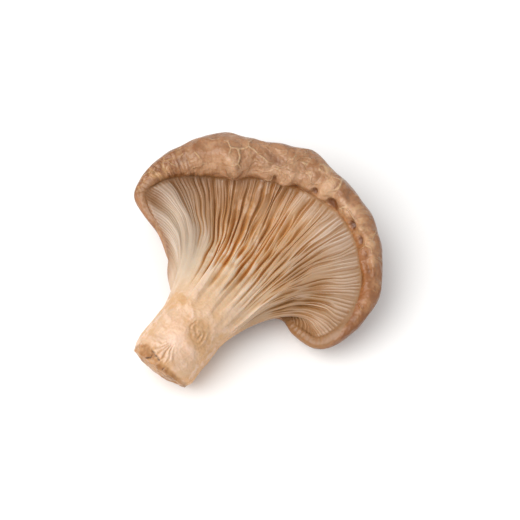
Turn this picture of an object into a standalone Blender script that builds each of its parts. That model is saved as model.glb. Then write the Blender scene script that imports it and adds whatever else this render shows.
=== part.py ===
"""One oyster mushroom, as picked, lying on the back of its cap with its gills up.

Metres, +Z up, +X from the cut stem towards the far rim of the cap. The mushroom is one solid.
Its skin is a net of lines that run from the cut end of the stem, along the stem, up the gill side,
over the rolled rim and down the back of the cap to a single point. A line is named by its turn:
0 degrees is the far rim, 90 the left side, 180 the underside of the stem.
"""

import math

import bmesh
import bpy
import numpy as np
from mathutils import Vector, noise

MM = 0.001
UP = np.array([0.0, 0.0, 1.0])

# The stem, from the cut end to the neck, where the lines begin to spread.
CUT_CENTRE = np.array([-54.6, -8.6, 9.7]) * MM
NECK_CENTRE = np.array([-37.5, -6.2, 12.2]) * MM
CUT_RADIUS = 11.0 * MM
NECK_RADIUS = 11.3 * MM
NECK_HEIGHT_SHARE = 0.95
NECK_FLARE_SIDE = 0.22
NECK_FLARE_UP = 0.10
CUT_LEAN = math.radians(-7.0)
CUT_BULGE = 1.8 * MM
CUT_ROUNDING = 0.09
CUT_ROUNDED_SHARE = 0.16

# The rim, one row for each station round the cap. x, y, z: the middle of the rolled edge, and
# roll its radius, in millimetres. The rest are angles in degrees. Heading and slope are the
# direction in which the gill side comes in to the roll, in plan and upwards. Seat is where it
# meets the roll: 0 outwards, 90 on top, 180 inwards. Neck is where the line leaves the neck of
# the stem: 0 on top, 90 at the left.
RIM = np.array(
    [
        # turn    x      y     z   roll heading slope seat neck
        (-172, -29.0, -5.0, 4.0, 1.8, -5, -10, -60, -168),
        (-160, -26.0, -11.0, 4.5, 1.8, -25, -25, -20, -140),
        (-149, -20.0, -14.8, 5.0, 1.7, -35, -20, 40, -120),
        (-139, -14.5, -17.5, 5.5, 1.6, -55, -10, 80, -108),
        (-130, -11.5, -22.5, 6.0, 1.6, -95, 0, 105, -101),
        (-120, -12.5, -29.5, 7.0, 1.7, -140, 0, 115, -97),
        (-109, -12.0, -37.0, 8.5, 1.9, -128, 5, 130, -93),
        (-96, -6.5, -41.6, 11.5, 2.3, -100, 10, 150, -88),
        (-78, 6.5, -41.5, 15.0, 2.9, -72, 15, 160, -80),
        (-52, 20.0, -31.5, 18.0, 3.9, -44, 25, 180, -70),
        (-26, 27.9, -16.2, 19.5, 4.6, -20, 35, 190, -57),
        (-4, 28.6, -1.6, 20.5, 5.9, -3, 40, 205, -38),
        (15, 26.3, 8.5, 20.8, 7.0, 12, 35, 215, -20),
        (34, 19.8, 18.5, 21.0, 6.2, 27, 28, 220, 0),
        (54, 12.8, 27.8, 21.4, 7.7, 43, 25, 222, 18),
        (78, 2.0, 36.5, 21.0, 5.4, 66, 25, 208, 42),
        (96, -8.5, 40.1, 20.0, 3.6, 90, 18, 175, 57),
        (110, -17.0, 39.2, 18.5, 2.3, 114, 10, 140, 69),
        (122, -20.0, 33.0, 17.0, 1.7, 112, 0, 110, 79),
        (134, -21.0, 25.0, 15.0, 1.6, 92, -5, 80, 89),
        (147, -24.7, 16.4, 12.0, 1.7, 70, -8, 50, 101),
        (160, -29.5, 8.4, 7.5, 1.8, 35, -15, -10, 124),
        (172, -29.5, 2.5, 4.5, 1.8, 5, -10, -60, 158),
    ]
)

# The gills. Of every four valleys between them, one is long and the others begin further out, so
# broad folds near the stem split into fine gills. A gill is no higher than its steepness times the
# gap to the next one, and lower on the left flank and at the rim.
GILLS = 120
FIRST_GILL_TURN = -131.0
LAST_GILL_TURN = 146.0
GILL_DEPTH = 2.6 * MM
GILL_STEEPNESS = 1.25
VALLEY_START = (0.12, 0.56, 0.34, 0.56)
START_SCATTER = 0.08
FLANK_RELIEF = 0.4
RIM_RELIEF = 0.55

# The net: lines across the underside of the stem, and the rings, as shares of the way along
# each stretch. Coarse rings keep one line in four, medium ones one in two.
FLANK_LINES = 40
COARSE, MEDIUM, FINE = 4, 2, 1
CUT_RINGS = (0.35, 0.7)
STEM_RINGS = (0.0, 0.07, 0.16, 0.37, 0.58, 0.79)
INNER_GILL_RINGS = (0.0, 0.07, 0.14, 0.21)
MIDDLE_GILL_RINGS = (0.28, 0.35, 0.42, 0.49)
OUTER_GILL_RINGS = (0.56, 0.63, 0.7, 0.77, 0.84, 0.9, 0.95, 0.985)
ROLL_RINGS = (0.0, 0.14, 0.3, 0.46, 0.62, 0.8, 1.0)
BACK_RINGS = (0.12, 0.24, 0.36, 0.48, 0.6, 0.7, 0.8, 0.9)

# The back of the cap: where its lines meet, and the depth over which it eases on to the table.
BACK_POLE = np.array([-3.0, 1.0, -1.2]) * MM
ROLL_END = math.radians(-20.0)
ROLL_END_UNDER_STEM = math.radians(-90.0)
TABLE_EASE = 0.8 * MM

# How far each end of a line's curve runs straight, as a share of the way it has to go.
NECK_REACH = 0.42
RIM_REACH = 0.45
BACK_REACH_OUT = 0.30
BACK_REACH_IN = 0.34
SMALL_SHARE = 0.004

# Swellings of the stem and, in full, of the thickest part of the rolled rim.
LUMP_SIZE = 8.0 * MM
LUMP_HEIGHT = 1.8 * MM
STEM_LUMPS = 0.4

SEED = 7


def ring_spline(knots, values, at):
    """A smooth closed curve through values at knots, in degrees of one turn, read at the turns in at."""
    knots = np.append(knots, knots[0] + 360.0)
    values = np.vstack([values, values[:1]])
    step = np.diff(knots)
    slope = np.diff(values, axis=0) / step[:, None]
    before, step_before = np.roll(slope, 1, axis=0), np.roll(step, 1)
    tangent = (before * step[:, None] + slope * step_before[:, None]) / (step + step_before)[:, None]
    tangent = np.vstack([tangent, tangent[:1]])
    at = (at - knots[0]) % 360.0 + knots[0]
    i = np.clip(np.searchsorted(knots, at, side="right") - 1, 0, len(step) - 1)
    u = ((at - knots[i]) / step[i])[:, None]
    h = step[i][:, None]
    return (
        values[i] * (2 * u**3 - 3 * u**2 + 1)
        + tangent[i] * h * (u**3 - 2 * u**2 + u)
        + values[i + 1] * (3 * u**2 - 2 * u**3)
        + tangent[i + 1] * h * (u**3 - u**2)
    )


def bezier(a, b, c, d, u):
    return (1 - u) ** 3 * a + 3 * u * (1 - u) ** 2 * b + 3 * u**2 * (1 - u) * c + u**3 * d


def smooth(low, high, value):
    """0 at low, 1 at high, and an even rise between."""
    x = np.clip((value - low) / (high - low), 0.0, 1.0)
    return x * x * (3 - 2 * x)


def unit(vectors):
    return vectors / np.linalg.norm(vectors, axis=-1, keepdims=True)


class Skin:
    """The smooth form, before gills: a point for each turn and each distance along its line."""

    def __init__(self, turns):
        self.turns = turns
        stations = np.column_stack([RIM[:, 1:8], RIM[:, 8] - RIM[:, 0]])
        rows = ring_spline(RIM[:, 0], stations, turns)
        self.middle = rows[:, :3] * MM
        self.roll = rows[:, 3:4] * MM
        heading, slope, self.seat = np.radians(rows[:, 4:7]).T[:, :, None]
        self.arrival = np.hstack(
            [np.cos(heading) * np.cos(slope), np.sin(heading) * np.cos(slope), np.sin(slope)]
        )
        self.neck_angle = np.radians(rows[:, 7:8] + turns[:, None])
        ahead = ring_spline(RIM[:, 0], stations, turns + 0.5)[:, :2]
        behind = ring_spline(RIM[:, 0], stations, turns - 0.5)[:, :2]
        along = unit(ahead - behind)
        self.out = np.column_stack([along[:, 1], -along[:, 0], 0 * turns])
        self.axis = unit(NECK_CENTRE - CUT_CENTRE)
        self.left = unit(np.cross(UP, self.axis))
        self.top = np.cross(self.axis, self.left)

    def across(self, angle):
        """A unit direction in the upright plane across the rim."""
        return np.cos(angle) * self.out + np.sin(angle) * UP

    def stem(self, share):
        """A ring of the stem, share 0 at the cut end and 1 at the neck."""
        centre = CUT_CENTRE + (NECK_CENTRE - CUT_CENTRE) * share
        radius = CUT_RADIUS + (NECK_RADIUS - CUT_RADIUS) * share
        radius = radius * (1 - CUT_ROUNDING * (1 - smooth(0.0, CUT_ROUNDED_SHARE, share)))
        high = radius * (1 - (1 - NECK_HEIGHT_SHARE) * share) * np.cos(self.neck_angle)
        side = radius * np.sin(self.neck_angle)
        lean = (1 - share) ** 3 * math.tan(CUT_LEAN) * high
        across = side * self.left + high * self.top
        swell = STEM_LUMPS * (1 - share) * lumps(centre + across)
        return centre + across + unit(across) * swell + lean * self.axis

    def cut_face(self, share):
        """A ring of the cut face, share 0 at its middle and 1 at its edge."""
        edge = self.stem(0.0)
        centre = edge.mean(axis=0)
        return centre + (edge - centre) * share - CUT_BULGE * (1 - share**2) * self.axis

    def gill_side(self, share):
        """From the neck, share 0, to the seat on the roll, share 1."""
        neck = self.stem(1.0)
        side = NECK_FLARE_SIDE * np.sin(self.neck_angle) * self.left
        rise = NECK_FLARE_UP * np.cos(self.neck_angle) * self.top
        seat = self.middle + self.roll * self.across(self.seat)
        reach = np.linalg.norm(seat - neck, axis=1, keepdims=True)
        leaving = neck + NECK_REACH * reach * (self.axis + side + rise)
        return bezier(neck, leaving, seat - RIM_REACH * reach * self.arrival, seat, share)

    def roll_end(self):
        """Where the roll gives way to the back: low on the outside, and flat under the stem."""
        under = np.clip((math.pi / 2 - self.seat) / math.radians(140), 0.0, 1.0)
        return ROLL_END + (ROLL_END_UNDER_STEM - ROLL_END) * under

    def rolled_rim(self, share):
        """Over the roll, share 0 at the seat of the gill side and 1 at the back."""
        outwards = self.across(self.seat + (self.roll_end() - self.seat) * share)
        surface = self.middle + self.roll * outwards
        thickness = self.roll / (RIM[:, 4].max() * MM)
        return surface + outwards * lumps(surface) * thickness * smooth(0.0, 0.2, share)

    def back(self, share):
        """From the roll, share 0, down and in to the pole on the back of the cap, share 1."""
        end = self.roll_end()
        start = self.middle + self.roll * self.across(end)
        swell = (self.rolled_rim(1.0) - start) * (1 - smooth(0.0, 0.4, share))
        down = np.sin(end) * self.out - np.cos(end) * UP
        reach = np.linalg.norm(start - BACK_POLE, axis=1, keepdims=True)
        outwards = unit((start - BACK_POLE) * [1.0, 1.0, 0.0])
        leaving = start + BACK_REACH_OUT * reach * down
        return bezier(start, leaving, BACK_POLE + BACK_REACH_IN * reach * outwards, BACK_POLE, share) + swell


def normals(before, here, after):
    """Unit normals of the net at one ring, from the rings on each side of it."""
    round_rim = np.roll(here, -1, axis=0) - np.roll(here, 1, axis=0)
    return unit(np.cross(after - before, round_rim))


def valley_starts():
    """For each valley, the share of its line at which it begins."""
    random = np.random.default_rng(SEED)
    scatter = random.uniform(-START_SCATTER, START_SCATTER, GILLS)
    rank = np.arange(GILLS) % len(VALLEY_START)
    return np.array(VALLEY_START)[rank] + scatter * (rank > 0)


def gill_heights(turns, share, here):
    """The rise of each line of the ring here: valleys on even lines, crests on odd ones."""
    rise = np.ones(len(turns))
    rise[: 2 * GILLS : 2] -= smooth(-0.03, 0.14, share - valley_starts())
    spacing = np.linalg.norm(np.roll(here, -1, axis=0) - np.roll(here, 1, axis=0), axis=1)
    gills_between = len(VALLEY_START) ** (1 - smooth(0.25, 0.6, share))
    depth = np.minimum(GILL_DEPTH, GILL_STEEPNESS * spacing * gills_between)
    along = smooth(0.03, 0.4, share) * (1 - (1 - RIM_RELIEF) * smooth(0.75, 1.0, share))
    notch = smooth(FIRST_GILL_TURN + 2, FIRST_GILL_TURN + 42, turns)
    flank = 1 - (1 - FLANK_RELIEF) * smooth(60, 110, turns)
    flank = flank - FLANK_RELIEF * smooth(105, LAST_GILL_TURN - 8, turns)
    return (rise - 0.5) * along * notch * flank * depth


def line_turns():
    """The turn of every line: two to a gill, then wider ones across the underside of the stem."""
    gills = np.linspace(FIRST_GILL_TURN, LAST_GILL_TURN, 2 * GILLS, endpoint=False)
    flank = np.linspace(LAST_GILL_TURN, FIRST_GILL_TURN + 360, FLANK_LINES, endpoint=False)
    return np.concatenate([gills, flank])


def lumps(points):
    """An uneven swelling, both out and in, read from a smooth noise at each point."""
    return np.array([[LUMP_HEIGHT * noise.noise(Vector(p / LUMP_SIZE))] for p in points])


def rings():
    """Every ring of the net, from the middle of the cut to the back, as (points, one line in how many)."""
    skin = Skin(line_turns())
    found = [(skin.cut_face(share), COARSE) for share in CUT_RINGS]
    found += [(skin.stem(share), COARSE) for share in STEM_RINGS]
    gill_rings = [(share, COARSE) for share in INNER_GILL_RINGS]
    gill_rings += [(share, MEDIUM) for share in MIDDLE_GILL_RINGS]
    gill_rings += [(share, FINE) for share in OUTER_GILL_RINGS]
    for share, stride in gill_rings:
        here = skin.gill_side(share)
        outwards = normals(skin.gill_side(share - SMALL_SHARE), here, skin.gill_side(share + SMALL_SHARE))
        found.append((here + outwards * gill_heights(skin.turns, share, here)[:, None], stride))
    found += [(skin.rolled_rim(share), MEDIUM) for share in ROLL_RINGS]
    found += [(skin.back(share), COARSE) for share in BACK_RINGS]
    return skin, [(ease_on_table(points), stride) for points, stride in found]


def ease_on_table(points):
    """Flattens what would be below the table, with a soft edge round the flat."""
    z = points[:, 2]
    eased = np.where(z < TABLE_EASE, (np.maximum(z, -TABLE_EASE) + TABLE_EASE) ** 2 / (4 * TABLE_EASE), z)
    return np.column_stack([points[:, :2], eased])


def stitch(bm, near, far):
    """Faces between two rings, where one may have a whole multiple of the other's points."""
    if len(near) == len(far):
        for i in range(len(near)):
            j = (i + 1) % len(near)
            bm.faces.new((near[i], near[j], far[j], far[i]))
        return
    flip = len(near) > len(far)
    coarse, fine = (far, near) if flip else (near, far)
    ratio = len(fine) // len(coarse)
    for i in range(len(coarse)):
        a, b = coarse[i], coarse[(i + 1) % len(coarse)]
        run = [fine[(i * ratio + k) % len(fine)] for k in range(ratio + 1)]
        half = ratio // 2
        made = [(a, run[k + 1], run[k]) for k in range(half)]
        made.append((a, b, run[half]))
        made += [(b, run[k + 1], run[k]) for k in range(half, ratio)]
        for face in made:
            bm.faces.new(face[::-1] if flip else face)


def fan(bm, centre, ring, flip):
    for i in range(len(ring)):
        face = (centre, ring[i], ring[(i + 1) % len(ring)])
        bm.faces.new(face[::-1] if flip else face)


def mushroom_mesh():
    skin, found = rings()
    pole = ease_on_table(BACK_POLE[None, :])[0]
    low = np.min([points.min(axis=0) for points, _ in found], axis=0)
    high = np.max([points.max(axis=0) for points, _ in found], axis=0)
    shift = -0.5 * (low + high) * [1.0, 1.0, 0.0]
    bm = bmesh.new()
    net = [[bm.verts.new(p) for p in (points + shift)[::stride]] for points, stride in found]
    for near, far in zip(net, net[1:]):
        stitch(bm, near, far)
    fan(bm, bm.verts.new(skin.cut_face(0.0)[0] + shift), net[0], True)
    fan(bm, bm.verts.new(pole + shift), net[-1], False)
    bmesh.ops.recalc_face_normals(bm, faces=bm.faces)
    mesh = bpy.data.meshes.new("oyster_mushroom")
    bm.to_mesh(mesh)
    bm.free()
    return mesh


def flesh_material():
    material = bpy.data.materials.new("mushroom_flesh")
    material.use_nodes = True
    shader = material.node_tree.nodes["Principled BSDF"]
    shader.inputs["Base Color"].default_value = (0.62, 0.44, 0.29, 1.0)
    shader.inputs["Roughness"].default_value = 0.6
    return material


def main():
    for obj in list(bpy.data.objects):
        bpy.data.objects.remove(obj)
    mesh = mushroom_mesh()
    mesh.materials.append(flesh_material())
    mesh.shade_smooth()
    mushroom = bpy.data.objects.new("oyster_mushroom", mesh)
    bpy.context.scene.collection.objects.link(mushroom)


main()
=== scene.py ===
"""The oyster mushroom in a plain studio: fine gills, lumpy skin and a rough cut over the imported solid.

Metres. The form is the solid's own: a net of lines from the cut end of the stem, along the stem,
up the gill side, over the rolled rim and down the back to a pole. A line is named by its turn: 0
degrees is the far rim, 90 the left side, 180 the underside of the stem. This net is finer, and its
lines follow each valley between the gills.
"""

import math

import bpy
import numpy as np
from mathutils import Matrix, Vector, noise


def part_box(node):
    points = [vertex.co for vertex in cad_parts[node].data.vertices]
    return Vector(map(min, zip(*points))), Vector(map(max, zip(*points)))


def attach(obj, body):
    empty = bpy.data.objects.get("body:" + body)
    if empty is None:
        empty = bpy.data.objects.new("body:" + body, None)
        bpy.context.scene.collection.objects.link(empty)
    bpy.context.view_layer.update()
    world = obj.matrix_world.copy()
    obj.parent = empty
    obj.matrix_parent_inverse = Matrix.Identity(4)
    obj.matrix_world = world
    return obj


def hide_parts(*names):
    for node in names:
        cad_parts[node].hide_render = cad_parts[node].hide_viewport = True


MM = 0.001
UP = np.array([0.0, 0.0, 1.0])

# Where the rim table's own origin lies in the frame. The camera looks at it too.
STATION_ORIGIN = np.array([11.72, 0.65, 0.0]) * MM

# The stem, from the cut end to the neck, where the lines begin to spread.
CUT_CENTRE = np.array([-54.6, -8.6, 9.7]) * MM
NECK_CENTRE = np.array([-37.5, -6.2, 12.2]) * MM
CUT_RADIUS = 11.0 * MM
NECK_RADIUS = 11.3 * MM
NECK_HEIGHT_SHARE = 0.95
NECK_FLARE_SIDE = 0.22
NECK_FLARE_UP = 0.10
CUT_LEAN = math.radians(-7.0)
CUT_BULGE = 1.8 * MM
CUT_ROUNDING = 0.09
CUT_ROUNDED_SHARE = 0.16

# The rim, as in the solid: the middle of the rolled edge and its radius in millimetres, then in
# degrees the heading and slope at which the gill side comes in, where it meets the roll (0 is
# outwards, 90 on top) and where its line leaves the neck (0 is on top, 90 at the left).
RIM = np.array((
    # turn    x      y     z   roll heading slope seat neck
    (-172, -29.0, -5.0, 4.0, 1.8, -5, -10, -60, -168),
    (-160, -26.0, -11.0, 4.5, 1.8, -25, -25, -20, -140),
    (-149, -20.0, -14.8, 5.0, 1.7, -35, -20, 40, -120),
    (-139, -14.5, -17.5, 5.5, 1.6, -55, -10, 80, -108),
    (-130, -11.5, -22.5, 6.0, 1.6, -95, 0, 105, -101),
    (-120, -12.5, -29.5, 7.0, 1.7, -140, 0, 115, -97),
    (-109, -12.0, -37.0, 8.5, 1.9, -128, 5, 130, -93),
    (-96, -6.5, -41.6, 11.5, 2.3, -100, 10, 150, -88),
    (-78, 6.5, -41.5, 15.0, 2.9, -72, 15, 160, -80),
    (-52, 20.0, -31.5, 18.0, 3.9, -44, 25, 180, -70),
    (-26, 27.9, -16.2, 19.5, 4.6, -20, 35, 190, -57),
    (-4, 28.6, -1.6, 20.5, 5.9, -3, 40, 205, -38),
    (15, 26.3, 8.5, 20.8, 7.0, 12, 35, 215, -20),
    (34, 19.8, 18.5, 21.0, 6.2, 27, 28, 220, 0),
    (54, 12.8, 27.8, 21.4, 7.7, 43, 25, 222, 18),
    (78, 2.0, 36.5, 21.0, 5.4, 66, 25, 208, 42),
    (96, -8.5, 40.1, 20.0, 3.6, 90, 18, 175, 57),
    (110, -17.0, 39.2, 18.5, 2.3, 114, 10, 140, 69),
    (122, -20.0, 33.0, 17.0, 1.7, 112, 0, 110, 79),
    (134, -21.0, 25.0, 15.0, 1.6, 92, -5, 80, 89),
    (147, -24.7, 16.4, 12.0, 1.7, 70, -8, 50, 101),
    (160, -29.5, 8.4, 7.5, 1.8, 35, -15, -10, 124),
    (172, -29.5, 2.5, 4.5, 1.8, 5, -10, -60, 158),
))

# The gills, as in the solid. VALLEY_START is the share of its line at which each of four valleys in
# a row begins: one is long, one middling and two short.
GILLS = 120
FIRST_GILL_TURN = -131.0
LAST_GILL_TURN = 146.0
GILL_DEPTH = 2.6 * MM
GILL_STEEPNESS = 1.25
VALLEY_START = (0.12, 0.56, 0.34, 0.56)
START_SCATTER = 0.08
FLANK_RELIEF = 0.4
RIM_RELIEF = 0.55
GILL_GAP = (LAST_GILL_TURN - FIRST_GILL_TURN) / GILLS
GILL_RANK = np.arange(GILLS) % len(VALLEY_START)

# The fine net. LINES_OF_GILL are the places of a gill's lines on the way from one valley to the
# next. A fine ring has all the lines, a medium one every second and a coarse one every fourth.
LINES_OF_GILL = (0.0, 0.13, 0.3, 0.5, 0.7, 0.87)
FLANK_LINES = 120
CUT_RINGS = 20
STEM_RINGS = 30
GILL_RINGS = 66
ROLL_RINGS = 40
BACK_RINGS = 22
FINE, MEDIUM, COARSE = 1, 2, 4

# The back of the cap: where its lines meet, where the roll gives way to it, and the height over
# which it eases on to the table.
BACK_POLE = np.array([-3.0, 1.0, -1.2]) * MM
ROLL_END = math.radians(-20.0)
ROLL_END_UNDER_STEM = math.radians(-90.0)
TABLE_EASE = 0.8 * MM

# How far a curve keeps the direction in which it leaves or comes in, as a share of its span, and
# the step along a line that is used to find its slope.
NECK_REACH = 0.42
RIM_REACH = 0.45
BACK_REACH_OUT = 0.30
BACK_REACH_IN = 0.34
SMALL_SHARE = 0.004

# The solid's own swellings, and the share of them that the stem has.
LUMP_SIZE = 8.0 * MM
LUMP_HEIGHT = 1.8 * MM
STEM_LUMPS = 0.4

# Finer relief than the solid's. A valley has a narrow foot, which takes VALLEY_SHARPNESS of its
# depth, and a broad slope. RUN_TOGETHER valleys join by the neck. A slow fold is FOLD_GILLS wide,
# and gills stray sideways by WANDER gaps at most. The fillet eases the gill side over a thin edge.
VALLEY_WIDTH = 0.36 * MM
NARROWEST_FOOT = 0.22 * MM
FOOT_STEEPNESS = 1.8
VALLEY_SHARPNESS = 0.5
VALLEY_SLOPE_WIDTH = 0.42
CREST_WIDTH = 0.14
RUN_TOGETHER = 2.0
FINE_GROOVE = 0.12 * MM
LOBE_GROOVE = 3.0 * FINE_GROOVE
FOLD_GILLS = 5.0
FOLD_HEIGHT = 1.2 * MM
WANDER = 1.0
RIM_FILLET = 0.45 * MM

# Regions round the rim, in degrees of turn: the middle and half width of one that fades out.
LOBE = (-111.0, 21.0)
WARM_GILLS = (30.0, 42.0)
UNDER_THICK_RIM = (45.0, 45.0)
UNDER_CORNER = (102.0, 24.0)
SHADED_LOBE = (-116.0, 26.0)
BARE_LOBE = (-114.0, 21.0)
BARE_SPOT = (69.0, 9.0)
SOFT_CORNER = (106.0, 12.0)
DARK_RIGHT = (-85.0, 42.0)
DARK_LEFT = (102.0, 28.0)
BAND_RIGHT = (-72.0, 40.0)
CROSS_WRINKLES = (92.0, 22.0)
SCALLOPS = (-38.0, 36.0)
WRINKLED_LEFT = (98.0, 16.0)
WRINKLED_RIGHT = (-45.0, 34.0)
SWIRLED = (14.0, 26.0)

# The turns between which a region rises from nothing to full, going left. Where there are two
# pairs, it is full beyond the left pair and before the right one.
THIN_CORNER = (95.0, 112.0)
FAINT_CORNER = (72.0, 102.0)
LEFT_FLANK = (50.0, 88.0)
PAST_RIGHT = (-60.0, -10.0)
WHITE_GILLS = (45.0, 90.0)
NECK_FLANKS = ((48.0, 72.0), (-98.0, -62.0))
THIN_FLANKS = ((112.0, 135.0), (-150.0, -132.0))
SKIN_FLANKS = ((98.0, 125.0), (-150.0, -132.0))

# How dark a valley of full depth is, partly its own orange brown and partly painted shade, and the relief
# at which it is half as dark.
VALLEY_TINT_AND_SHADE = 1.95
TINT_REGION = 0.35 * MM

# The way in which the marks below go into the flesh, and the two directions across it.
MARKS_IN = np.array([0.332, 0.332, -0.883])
MARKS_RIGHT = np.array([0.7071, -0.7071, 0.0])
MARKS_AWAY = np.cross(MARKS_IN, MARKS_RIGHT) * -1.0

# Cracks in the cut end, in millimetres: one end, the other end, half width, depth.
CRACKS = (
    ((-54.3, -6.0, 20.5), (-55.1, -10.3, 20.3), 0.30, 0.5),
    ((-57.3, -6.4, 19.4), (-56.3, -7.6, 19.9), 0.32, 0.5),
    ((-56.3, -7.6, 19.9), (-55.5, -7.4, 20.1), 0.24, 0.4),
    ((-57.0, -11.4, 18.9), (-56.3, -13.5, 17.0), 0.34, 0.3),
    ((-56.6, -12.8, 18.4), (-55.6, -12.9, 18.9), 0.30, 0.3),
    ((-56.0, -14.5, 16.0), (-55.2, -16.5, 13.8), 0.34, 0.3),
)

# Uneven flesh: the height and size of each noise in millimetres, and its place in the noise.
CUT_UNEVEN = ((0.5, 4.0, 23.0), (0.3, 1.4, 29.0))
ROLL_UNEVEN = ((1.2, 6.0, 5.0), (0.3, 2.6, 7.0))
STEM_UNEVEN = ((0.35, 4.5, 17.0),)
STEM_FIBRES = ((0.16, 1.3, 11.0),)
FIBRE_STRETCH = np.array([0.16, 1.0, 1.0])

# Wrinkles across the roll at the left corner and scallops on its right: width in degrees, height.
WRINKLE_TURNS = 1.6
WRINKLE_HEIGHT = 1.1 * MM
SCALLOP_TURNS = 5.5
SCALLOP_HEIGHT = 1.0 * MM

# Creases that spread like a fan on the stem, and a long tan scar with rings.
FAN_CENTRE = np.array([-47.6, -9.6, 21.3]) * MM
FAN_MIDDLE = math.radians(218.0)
FAN_SPREAD = math.radians(50.0)
FAN_BLADES = 21.0
FAN_REACH = 7.6 * MM
FAN_CREASE = 0.22 * MM
FAN_SWELLING = 0.25 * MM
SCAR_CENTRE = np.array([-39.9, -12.6, 20.9]) * MM
SCAR_REACH = 4.1 * MM
SCAR_RING = 1.3 * MM
SCAR_LENGTH = 1.35
SCAR_HEIGHT = 0.2 * MM
SCAR_WOBBLE = 0.9 * MM

# Dimples along the inner edge of the roll, then swellings beside them: turn, share of the way over
# the roll, half width in degrees, depth or height in millimetres. The lengths are half lengths
# over the roll, as a share of it, for each degree of half width.
DIMPLE_LENGTH = 0.03
SWELLING_LENGTH = 0.035
DIMPLES = (
    (25.5, 0.18, 1.9, 1.4),
    (-5.5, 0.18, 2.1, 1.5),
    (-17.0, 0.18, 2.6, 1.2),
    (-34.0, 0.19, 2.3, 1.8),
    (-43.5, 0.24, 2.9, 1.1),
    (-52.5, 0.28, 3.0, 0.9),
    (-61.0, 0.30, 3.2, 0.8),
)
SWELLINGS = (
    (15.0, 0.30, 3.4, 0.5),
    (-1.0, 0.36, 2.8, 0.5),
    (-11.0, 0.34, 3.0, 1.0),
    (-21.0, 0.35, 2.6, 0.8),
    (-27.0, 0.30, 2.6, 1.0),
    (-38.8, 0.36, 2.8, 1.1),
    (-47.8, 0.42, 3.2, 1.1),
    (-57.0, 0.45, 3.0, 0.9),
)

# What each ring keeps at its points for the material.
RING_MASKS = "valley groove crest warm white shade dim skin over inner lump stem cut crack".split()
RING_MASKS += ["along_far", "along_left"]

# Patterns in the material: the net of lines, the swirls, and how many wrinkles go round the rim.
NET_SIZE = 10.0 * MM
NET_BEND = 4.0 * MM
SWIRL_SIZE = 6.0 * MM
SWIRL_BANDS = 6.5
WRINKLES_ROUND = 110.0

SEED = 7

CAMERA_AZIMUTH = math.radians(-45.0)
CAMERA_ELEVATION = math.radians(62.0)
CAMERA_LENS = 100.0
SENSOR_WIDTH = 36.0
PHOTO_WIDTH = 520
PIXEL = 0.34 * MM
FRAME_WIDTH = PHOTO_WIDTH * PIXEL

# Colours, as shares of red, green and blue light sent back, and the other looks of the flesh.
GILL_PALE = (0.64, 0.48, 0.33)
GILL_WARM = (0.69, 0.49, 0.30)
GILL_ROSY = (0.60, 0.37, 0.22)
GILL_CREST_HIGHLIGHT = (0.90, 0.77, 0.65)
GILL_WHITE = (0.64, 0.515, 0.385)
GILL_SIDE = (0.50, 0.28, 0.125)
GILL_DEEP = (0.38, 0.17, 0.05)
WARM_SIDE = (0.68, 0.33, 0.10)
WARM_DEEP = (0.52, 0.17, 0.02)
GILL_PAINTED_SHADE = (0.35, 0.165, 0.06)
GILL_GROOVE_SHADE = (0.36, 0.17, 0.06)
GILL_DULL_AND_SHADE = (0.62, 0.60, 0.60)
STEM_PALE = (0.58, 0.385, 0.24)
STEM_TAN = (0.54, 0.31, 0.14)
STEM_DARK_AND_SHADE = (0.48, 0.25, 0.10)
STEM_BLUSH_AND_HIGHLIGHT = (0.74, 0.53, 0.41)
STEM_ROSY = (0.66, 0.42, 0.28)
STEM_LOW_SHADE = (0.62, 0.31, 0.10)
STEM_SCAR = (0.46, 0.25, 0.10)
CUT_PALE = (0.43, 0.22, 0.085)
CUT_TAN = (0.31, 0.135, 0.04)
CUT_CRACK_SHADE = (0.07, 0.03, 0.015)
SKIN_ROSY = (0.41, 0.21, 0.105)
SKIN_BROWN = (0.28, 0.122, 0.046)
SKIN_PALE_AND_HIGHLIGHT = (0.57, 0.355, 0.22)
SKIN_LINE_AND_HIGHLIGHT = (0.68, 0.47, 0.27)
SKIN_DIMPLE_SHADE = (0.14, 0.040, 0.006)
SKIN_SHADOW_BAND = (0.33, 0.13, 0.038)
SKIN_PAINTED_SHADE = (0.25, 0.105, 0.042)
SKIN_SHADE_DIMMING = (0.78, 0.66, 0.50)
FLOOR_COLOUR = (0.92, 0.92, 0.92, 1.0)
FLESH_LOOK = {
    "Roughness": 0.34,
    "Specular IOR Level": 0.5,
    "Subsurface Weight": 0.35,
    "Subsurface Radius": (1.0, 0.55, 0.3),
    "Subsurface Scale": 1.2 * MM,
}

FLOOR_HALF = 3.0
WORLD_LIGHT = 0.74
KEY_PLACE = (-0.38, 0.16, 0.62)
KEY_SIZE = 0.8
KEY_WATTS = 5.2
KEY_COLOUR = (1.0, 0.98, 0.95)
AIM_POINT = (0, 0, 0.01)

# The finer net stays this far inside the solid's own box.
BOX_MARGIN = 0.05 * MM

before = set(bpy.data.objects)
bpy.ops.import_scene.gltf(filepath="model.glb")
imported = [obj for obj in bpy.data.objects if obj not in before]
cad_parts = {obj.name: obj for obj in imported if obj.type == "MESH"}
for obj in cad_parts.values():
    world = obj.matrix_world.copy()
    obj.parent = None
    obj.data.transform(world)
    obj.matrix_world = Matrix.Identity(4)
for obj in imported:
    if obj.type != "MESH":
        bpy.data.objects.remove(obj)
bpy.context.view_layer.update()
scene = bpy.context.scene


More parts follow.
